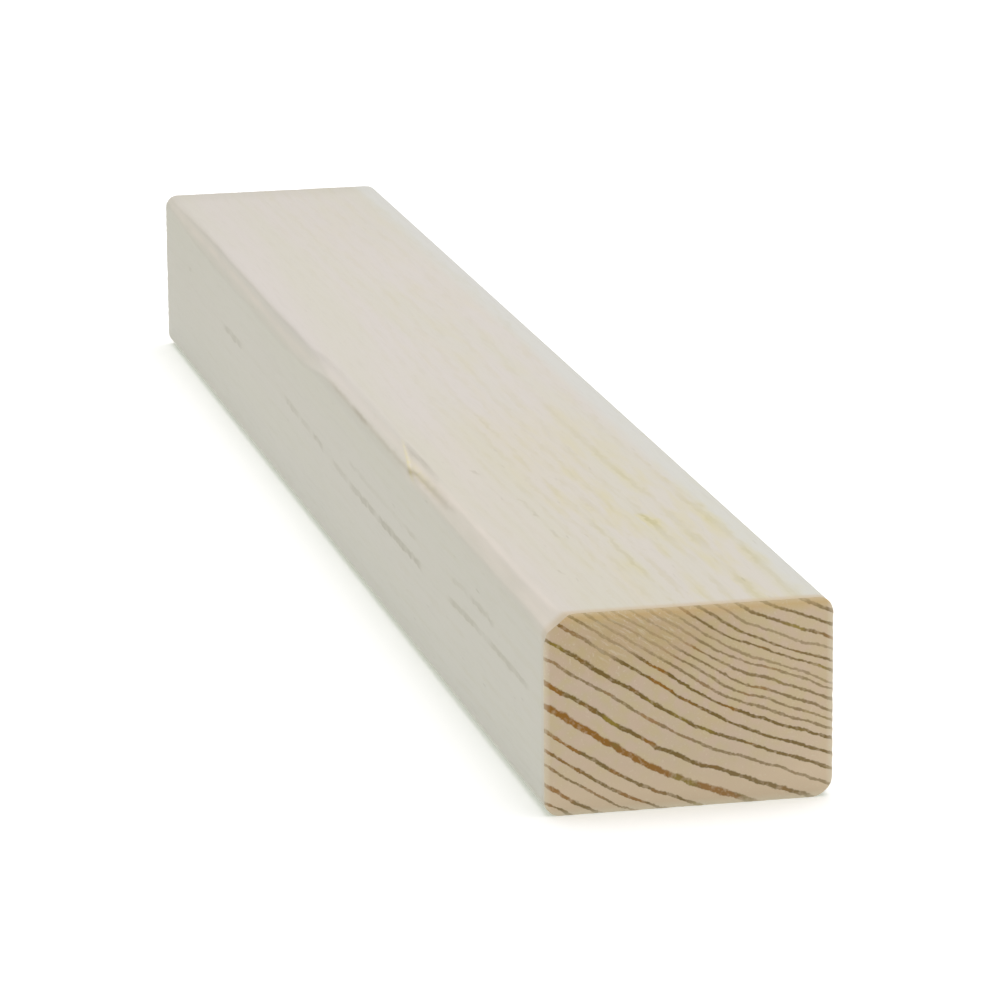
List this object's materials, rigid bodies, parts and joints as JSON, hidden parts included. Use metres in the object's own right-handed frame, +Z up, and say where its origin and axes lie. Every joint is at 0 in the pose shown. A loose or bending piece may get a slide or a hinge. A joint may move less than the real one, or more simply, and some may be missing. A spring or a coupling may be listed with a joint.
{
  "type": "timber lumber plank",
  "caption": "Short length of planed softwood stock: rectangular section with eased arrises, one of them worn, and square sawn ends.",
  "frame": {"origin": "centre of the underside, the wide face that the plank lies on", "axes": "+X across the width, +Y along the grain away from the end that shows its rings, +Z up through the thickness"},
  "size_m": [0.063, 0.48, 0.044],
  "materials": {
    "planed_softwood": "planed, unsealed; the two ends sawn"
  },
  "bodies": {
    "root": {"plank": "planed_softwood"}
  },
  "joints": []
}
